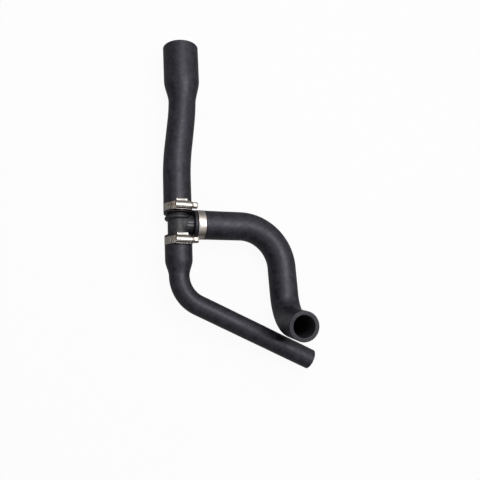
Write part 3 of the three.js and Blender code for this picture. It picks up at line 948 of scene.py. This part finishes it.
def housing_mesh(hose_set, radii):
    """A pressed housing: its sheet as a section drawn out along the screw, end walls and a side lug."""
    clip = hose_set.clip
    length_cuts = 13
    edge_round = 0.00016
    base = radii.seat - clip.sheet / 2
    bm = bmesh.new()
    housing_section(bm, clip, radii, base)
    move_new(bm, bmesh.ops.extrude_edge_only(bm, edges=bm.edges[:]), (clip.housing_length, 0, 0))
    long_edges = [edge for edge in bm.edges if abs(edge.verts[0].co.x - edge.verts[1].co.x) > 10 * NEAR]
    bmesh.ops.subdivide_edges(bm, edges=long_edges, cuts=length_cuts, use_grid_fill=True)
    for vert in bm.verts:
        if abs(vert.co.z - base) < 10 * NEAR:
            vert.co.z = math.sqrt(base ** 2 - vert.co.x ** 2)
    face_outwards(bm)
    bmesh.ops.solidify(bm, geom=bm.faces[:], thickness=clip.sheet)
    face_outwards(bm)
    round_edges(bm, sharp_edges(bm, CREASE), edge_round)
    join(bm, end_wall(clip, radii, -1, clip.journal / 2 + CLEARANCE))
    join(bm, end_wall(clip, radii, 1, clip.neck / 2 + CLEARANCE))
    join(bm, side_lug(clip, radii))
    soften(bm)
    return bm


def thread_mesh(clip):
    """The worm: a thread's outline wound once round and on by one pitch, then cut square at both ends."""
    steps = 48
    pitch = clip.slot_pitch
    root, crest = clip.worm_root / 2, clip.worm / 2
    # How much of a pitch lies before each corner of the thread, with the radius there
    corners = ((0.0, root), (0.34, root), (0.52, crest), (0.80, crest))
    half = clip.worm_length / 2
    turns = math.ceil(clip.worm_length / pitch) + 2
    low = -half - 1.5 * pitch
    outline = [(low + (turn + part) * pitch, radius, 0) for turn in range(turns) for part, radius in corners]
    outline.append((low + turns * pitch, root, 0))
    bm = bmesh.new()
    wire(bm, outline)
    bmesh.ops.spin(
        bm, geom=bm.verts[:] + bm.edges[:], cent=(0, 0, 0), axis=(1, 0, 0), dvec=(pitch / steps, 0, 0),
        angle=FULL_TURN, steps=steps,
    )
    merge(bm)
    for side in (1, -1):
        cut_off(bm, (side * half, 0, 0), (side, 0, 0))
    face_outwards(bm)
    return bm


def head_mesh(clip, hex_from):
    """The screw's six-sided head with its corners eased and a slot across its end."""
    edge_round = 0.0003
    corner = clip.hex_flats / 2 / math.cos(math.pi / 6)
    bm = bmesh.new()
    ring = bmesh.ops.create_circle(bm, cap_ends=True, radius=corner, segments=6)["verts"]
    bmesh.ops.rotate(bm, cent=(0, 0, 0), matrix=Matrix.Rotation(math.pi / 2, 3, "Y"), verts=ring)
    thicken(bm, (clip.hex_length, 0, 0))
    round_edges(bm, sharp_edges(bm, least=30), edge_round)
    move(bm, (hex_from, 0, 0))
    head = mesh_object(bm, "head")
    slot = box((2 * clip.driver_depth, clip.driver_width, 3 * corner), (hex_from + clip.hex_length, 0, 0))
    combine(head, slot, "DIFFERENCE")
    return mesh_of(head)


def screw_mesh(hose_set, radii):
    """A clip's screw along X: end journal, worm, neck, collar and head."""
    clip = hose_set.clip
    groove = 0.0004
    into = 0.0004
    chamfer = 0.0003
    low = -clip.worm_length / 2
    tip = low - clip.journal_length
    journal, neck, collar = clip.journal / 2, clip.neck / 2, clip.collar / 2
    collar_from = clip.housing_length / 2 + CLEARANCE + groove
    collar_end = clip.housing_length / 2 + CLEARANCE + clip.collar_thickness
    face = collar_end - groove
    far_end = turned([
        (tip, 0), (tip, journal - chamfer), (tip + chamfer, journal), (low + into, journal), (low + into, 0),
    ], axis_is_x=True, steps=32)
    near_end = turned([
        (-low - into, 0),
        (-low - into, neck),
        (collar_from, neck),
        (collar_from, collar - chamfer),
        (collar_from + chamfer, collar),
        (face - chamfer, collar),
        (face, collar - chamfer),
        (face, neck),
        (collar_end + into, neck),
        (collar_end + into, 0),
    ], axis_is_x=True, steps=48)
    bm = thread_mesh(clip)
    for part in (far_end, near_end, head_mesh(clip, collar_end)):
        join(bm, part)
    move(bm, (0, clip.arch_offset, radii.screw))
    soften(bm, least=32)
    return bm


def make_for_each_clip(context, maker, node, piece, material):
    """One piece of each of the three clips, in its own place on its hose."""
    hose_set = context.scene.hose_set
    for arm in ARMS:
        bm = maker(hose_set, clip_radii(hose_set, arm))
        bmesh.ops.transform(bm, matrix=clip_place(hose_set, arm), verts=bm.verts[:])
        finished_piece(context, bm, f"{arm}_{piece}", f"{arm}_{node}", material)


class HOSESET_OT_bands(Operator):
    """Make the three clips' bands"""

    bl_idname = "hose_set.make_bands"
    bl_label = "Bands"

    def execute(self, context):
        material = band_finish(context.scene.hose_set.finish)
        make_for_each_clip(context, band_mesh, "band", "strip", material)
        return {"FINISHED"}


class HOSESET_OT_housings(Operator):
    """Make the three clips' housings"""

    bl_idname = "hose_set.make_housings"
    bl_label = "Housings"

    def execute(self, context):
        material = pressing_finish(context.scene.hose_set.finish)
        make_for_each_clip(context, housing_mesh, "housing", "pressing", material)
        return {"FINISHED"}


class HOSESET_OT_screws(Operator):
    """Make the three clips' screws"""

    bl_idname = "hose_set.make_screws"
    bl_label = "Screws"

    def execute(self, context):
        material = screw_finish(context.scene.hose_set.finish)
        make_for_each_clip(context, screw_mesh, "screw", "worm_screw", material)
        return {"FINISHED"}


# Finishes


def feed(tree, socket, value):
    """Links an input to a socket, or gives it a plain value."""
    if isinstance(value, bpy.types.NodeSocket):
        tree.links.new(value, socket)
    else:
        socket.default_value = value


def add_node(tree, kind, inputs, **settings):
    made = tree.nodes.new(kind)
    for key, value in settings.items():
        setattr(made, key, value)
    for key, value in inputs.items():
        feed(tree, made.inputs[key], value)
    return made


class Finish:
    """A material whose shader nodes are added one by one."""

    def __init__(self, name):
        self.material = bpy.data.materials.new(name)
        self.material.use_nodes = True
        self.tree = self.material.node_tree
        self.shader = self.tree.nodes["Principled BSDF"]

    def add(self, kind, inputs, **settings):
        return add_node(self.tree, kind, inputs, **settings).outputs

    def give(self, name, value):
        """Sets one of the shader's inputs."""
        feed(self.tree, self.shader.inputs[name], value)

    def attribute(self, name):
        return self.add("ShaderNodeAttribute", {}, attribute_name=name)

    def object_place(self):
        return self.add("ShaderNodeTexCoord", {})["Object"]

    def stretched(self, vector, scale):
        return self.add("ShaderNodeMapping", {"Vector": vector, "Scale": scale})["Vector"]

    def noise(self, vector, scale, detail=2.0, roughness=0.5):
        inputs = {"Vector": vector, "Scale": scale, "Detail": detail, "Roughness": roughness}
        return self.add("ShaderNodeTexNoise", inputs)["Fac"]

    def spread(self, value, source, target=(0.0, 1.0)):
        """Stretches one range of values to another."""
        inputs = {"Value": value, "From Min": source[0], "From Max": source[1],
                  "To Min": target[0], "To Max": target[1]}
        return self.add("ShaderNodeMapRange", inputs)["Result"]

    def mixed(self, part, one, other):
        """Blends two colours, each a plain colour or a socket."""
        ends = [end if isinstance(end, bpy.types.NodeSocket) else (*end, 1) for end in (one, other)]
        return self.add("ShaderNodeMix", {0: part, 6: ends[0], 7: ends[1]}, data_type="RGBA")[2]

    def times(self, one, other):
        return self.add("ShaderNodeMath", {0: one, 1: other}, operation="MULTIPLY")[0]

    def bump(self, height, distance, strength, under=None):
        inputs = {"Height": height, "Distance": distance, "Strength": strength}
        if under is not None:
            inputs["Normal"] = under
        return self.add("ShaderNodeBump", inputs)["Normal"]


def rubber_finish(finish):
    """Matt moulded rubber, faintly mottled by bloom, with finer and greyer cut ends, and a lighter bore that
    is dust and painted light.
    """
    made = Finish("moulded_rubber")
    place = made.attribute("straight_place")["Vector"]
    patches = made.noise(place, scale=120.0, detail=4.0, roughness=0.65)
    mottle = made.noise(place, scale=380.0, detail=3.0, roughness=0.65)
    grain = made.noise(place, scale=1500.0)
    rings = made.noise(made.stretched(place, (25.0, 700.0, 25.0)), scale=1.0)
    bloom = made.times(
        made.spread(patches, (0.36, 0.66), (0.0, 0.9)), made.spread(mottle, (0.35, 0.65), (0.1, 1.0))
    )
    base = made.mixed(bloom, finish.rubber, finish.rubber_bloom)
    depth = made.attribute("wall_depth")["Fac"]
    skin = made.mixed(made.spread(depth, (0.04, 0.2)), base, finish.rubber_cut)
    # The bore is painted lighter, partly dust and partly painted light in the hollow
    made.give("Base Color", made.mixed(made.spread(depth, (0.8, 0.96)), skin, finish.rubber_bore_dust_and_light))
    made.give("Specular Tint", (*finish.rubber_sheen, 1))
    rough = finish.rubber_roughness
    made.give("Roughness", made.spread(patches, (0.32, 0.68), (rough - 0.1, rough + 0.16)))
    waves = made.bump(patches, distance=0.0006, strength=0.45)
    ringed = made.bump(rings, distance=0.00012, strength=0.4, under=waves)
    pits = made.bump(mottle, distance=0.00026, strength=0.6, under=ringed)
    made.give("Normal", made.bump(grain, distance=0.00006, strength=0.45, under=pits))
    return made.material


def plastic_finish(finish):
    """Black moulded plastic, semi-gloss, with fine light specks that are dust and painted glints, and painted
    highlights on the rib tops.
    """
    made = Finish("tee_plastic_black")
    place = made.object_place()
    specks = made.noise(place, scale=820.0, roughness=0.65)
    cloud = made.noise(place, scale=260.0)
    # Light specks, partly dust and partly painted glints
    dust_and_glints = made.times(made.spread(specks, (0.55, 0.68)), made.spread(cloud, (0.4, 0.65), (0.1, 1.0)))
    moulded = made.mixed(dust_and_glints, finish.plastic, finish.plastic_dust_and_glints)
    # Painted highlight: the rib tops are painted lighter in patches, standing in for the light they catch
    rib_highlight_patches = made.spread(cloud, (0.3, 0.55), (0.4, 1.0))
    highlit = made.times(made.attribute("rib_highlight_share")["Fac"], rib_highlight_patches)
    made.give("Base Color", made.mixed(highlit, moulded, finish.rib_painted_highlight))
    rough = finish.plastic_roughness
    made.give("Roughness", made.spread(cloud, (0.3, 0.7), (rough - 0.05, rough + 0.14)))
    made.give("Normal", made.bump(specks, distance=0.00016, strength=0.6))
    return made.material


def steel_surface(made, finish, base, grain, tint, lift):
    """Bright steel, browned where it is tinted and roughened by its grain."""
    made.give("Metallic", 1.0)
    made.give("Base Color", made.mixed(tint, base, finish.tarnish))
    rough = finish.steel_roughness
    made.give("Roughness", made.spread(grain, (0.3, 0.7), (rough - 0.07, rough + 0.13)))
    made.give("Normal", lift)
    return made.material


def band_finish(finish):
    """Rolled stainless strip, with fine streaks along its length and faint heat tint."""
    made = Finish("band_stainless")
    flat = made.attribute("flat_place")["Vector"]
    lengthwise = made.stretched(flat, (60.0, 2600.0, 60.0))
    streaks = made.noise(lengthwise, scale=1.0, detail=3.0, roughness=0.6)
    tint = made.spread(made.noise(flat, scale=85.0), (0.44, 0.68), (0.0, 0.85))
    lift = made.bump(streaks, distance=0.00003, strength=0.4)
    return steel_surface(made, finish, finish.steel, streaks, tint, lift)


def pressing_finish(finish):
    """Pressed stainless sheet, bright, with faint marks along the screw."""
    made = Finish("housing_stainless")
    place = made.object_place()
    lengthwise = made.stretched(place, (90.0, 1500.0, 1500.0))
    streaks = made.noise(lengthwise, scale=1.0, detail=3.0, roughness=0.6)
    tint = made.spread(made.noise(place, scale=140.0), (0.5, 0.75), (0.0, 0.5))
    lift = made.bump(streaks, distance=0.00003, strength=0.35)
    return steel_surface(made, finish, finish.steel, streaks, tint, lift)


def screw_finish(finish):
    """Bright plated steel with a fine grain."""
    made = Finish("screw_plated")
    place = made.object_place()
    grain = made.noise(place, scale=900.0, detail=3.0, roughness=0.6)
    tint = made.spread(made.noise(place, scale=160.0), (0.5, 0.75), (0.0, 0.5))
    lift = made.bump(grain, distance=0.00002, strength=0.3)
    return steel_surface(made, finish, finish.screw, grain, tint, lift)


# Stage


def mirrored_rays(tree, rays):
    """1 for rays that a surface mirrors or lets through, and 0 for the rest."""
    either = {0: rays["Is Glossy Ray"], 1: rays["Is Transmission Ray"]}
    return add_node(tree, "ShaderNodeMath", either, operation="MAXIMUM").outputs[0]


def floor_finish(stage):
    """A pale floor that shows as white, keeps the set's shadow and is softer in reflections."""
    material = bpy.data.materials.new("pale_floor")
    material.use_nodes = True
    tree = material.node_tree
    tree.nodes.clear()
    rays = add_node(tree, "ShaderNodeLightPath", {}).outputs
    paint = add_node(tree, "ShaderNodeBsdfDiffuse", {"Color": (*stage.floor_colour, 1)}).outputs[0]
    white = add_node(tree, "ShaderNodeEmission", {"Strength": 1.0}).outputs[0]
    reflected = add_node(tree, "ShaderNodeEmission", {"Strength": stage.floor_reflected}).outputs[0]
    glow = {0: rays["Is Camera Ray"], 1: stage.floor_glow}
    part = add_node(tree, "ShaderNodeMath", glow, operation="MULTIPLY").outputs[0]
    seen = add_node(tree, "ShaderNodeMixShader", {0: part, 1: paint, 2: white}).outputs[0]
    mixed = {0: mirrored_rays(tree, rays), 1: seen, 2: reflected}
    surface = add_node(tree, "ShaderNodeMixShader", mixed).outputs[0]
    add_node(tree, "ShaderNodeOutputMaterial", {"Surface": surface})
    return material


def light_sky(stage):
    """A world that is white to the camera, an even soft light, and in mirrors brightest near the key lamp."""
    world = bpy.data.worlds.new("soft_white")
    bpy.context.scene.world = world
    world.use_nodes = True
    tree = world.node_tree
    rays = add_node(tree, "ShaderNodeLightPath", {}).outputs
    way = add_node(tree, "ShaderNodeTexCoord", {}).outputs["Generated"]
    facing = {0: way, 1: Vector(stage.key_aim).normalized()}
    towards = add_node(tree, "ShaderNodeVectorMath", facing, operation="DOT_PRODUCT").outputs["Value"]
    fade = {"Value": towards, "From Min": 0.1, "From Max": 1.0, "To Min": stage.sky_low, "To Max": 1.0}
    mirrored = add_node(tree, "ShaderNodeMapRange", fade, interpolation_type="SMOOTHSTEP").outputs[0]
    unseen = {0: mirrored_rays(tree, rays), 2: stage.sky_level, 3: mirrored}
    level = {0: rays["Is Camera Ray"], 2: add_node(tree, "ShaderNodeMix", unseen).outputs[0], 3: 1.0}
    background = tree.nodes["Background"].inputs
    feed(tree, background["Color"], (1, 1, 1, 1))
    feed(tree, background["Strength"], add_node(tree, "ShaderNodeMix", level).outputs[0])


def add_camera(stage):
    camera = new_object("camera", bpy.data.cameras.new("camera"))
    camera.data.lens = stage.lens
    place, aim = Vector(stage.camera_place), Vector(stage.camera_aim)
    up = Vector((math.sin(stage.camera_roll), math.cos(stage.camera_roll), 0))
    back = (place - aim).normalized()
    side = up.cross(back).normalized()
    axes = Matrix((side, back.cross(side), back)).transposed()
    camera.matrix_world = Matrix.Translation(place) @ axes.to_4x4()
    bpy.context.scene.camera = camera


def add_key_lamp(stage):
    lamp = new_object("key_lamp", bpy.data.lights.new("key_lamp", "AREA"))
    lamp.data.shape = "RECTANGLE"
    lamp.data.size = stage.key_width
    lamp.data.size_y = stage.key_depth
    lamp.data.energy = stage.key_power
    way = Vector(stage.key_aim).normalized()
    lamp.location = way * stage.key_distance
    lamp.rotation_mode = "QUATERNION"
    lamp.rotation_quaternion = way.to_track_quat("Z", "Y")


class HOSESET_OT_stage(Operator):
    """Make the floor, the lamps and the camera"""

    bl_idname = "hose_set.make_stage"
    bl_label = "Stage"

    def execute(self, context):
        stage = context.scene.hose_set.stage
        floor_half = 4.0
        add_camera(stage)
        light_sky(stage)
        add_key_lamp(stage)
        bm = bmesh.new()
        bmesh.ops.create_grid(bm, x_segments=1, y_segments=1, size=floor_half)
        floor = mesh_object(bm, "floor")
        floor.data.materials.append(floor_finish(stage))
        context.scene.view_settings.view_transform = "Standard"
        return {"FINISHED"}


class HOSESET_PT_panel(Panel):
    """Sizes, colours and buttons for the hose set"""

    bl_label = "Radiator Hose Set"
    bl_idname = "HOSESET_PT_panel"
    bl_space_type = "VIEW_3D"
    bl_region_type = "UI"
    bl_category = "Hose Set"

    def draw(self, context):
        hose_set = context.scene.hose_set
        for operator in OPERATORS:
            self.layout.operator(operator.bl_idname)
        for key in ("round_steps", "fine_step", "long_step"):
            self.layout.prop(hose_set, key)
        for group in (*ARMS, "tee", "clip", "finish", "stage"):
            settings = getattr(hose_set, group)
            listed = self.layout.box()
            listed.label(text=group.title())
            for key in settings.__annotations__:
                listed.prop(settings, key)


OPERATORS = (
    HOSESET_OT_stage,
    HOSESET_OT_hoses,
    HOSESET_OT_tee,
    HOSESET_OT_bands,
    HOSESET_OT_housings,
    HOSESET_OT_screws,
)
CLASSES = (
    UpperHoseSizes,
    LowerHoseSizes,
    BranchHoseSizes,
    TeeSizes,
    ClipSizes,
    Finishes,
    StageSettings,
    HoseSet,
    *OPERATORS,
    HOSESET_PT_panel,
)


def register():
    for cls in CLASSES:
        bpy.utils.register_class(cls)
    bpy.types.Scene.hose_set = PointerProperty(type=HoseSet)


def unregister():
    del bpy.types.Scene.hose_set
    for cls in reversed(CLASSES):
        bpy.utils.unregister_class(cls)


def main():
    register()
    bpy.ops.hose_set.make_stage()
    bpy.ops.hose_set.make_hoses()
    bpy.ops.hose_set.make_tee()
    bpy.ops.hose_set.make_bands()
    bpy.ops.hose_set.make_housings()
    bpy.ops.hose_set.make_screws()


if __name__ == "__main__":
    main()
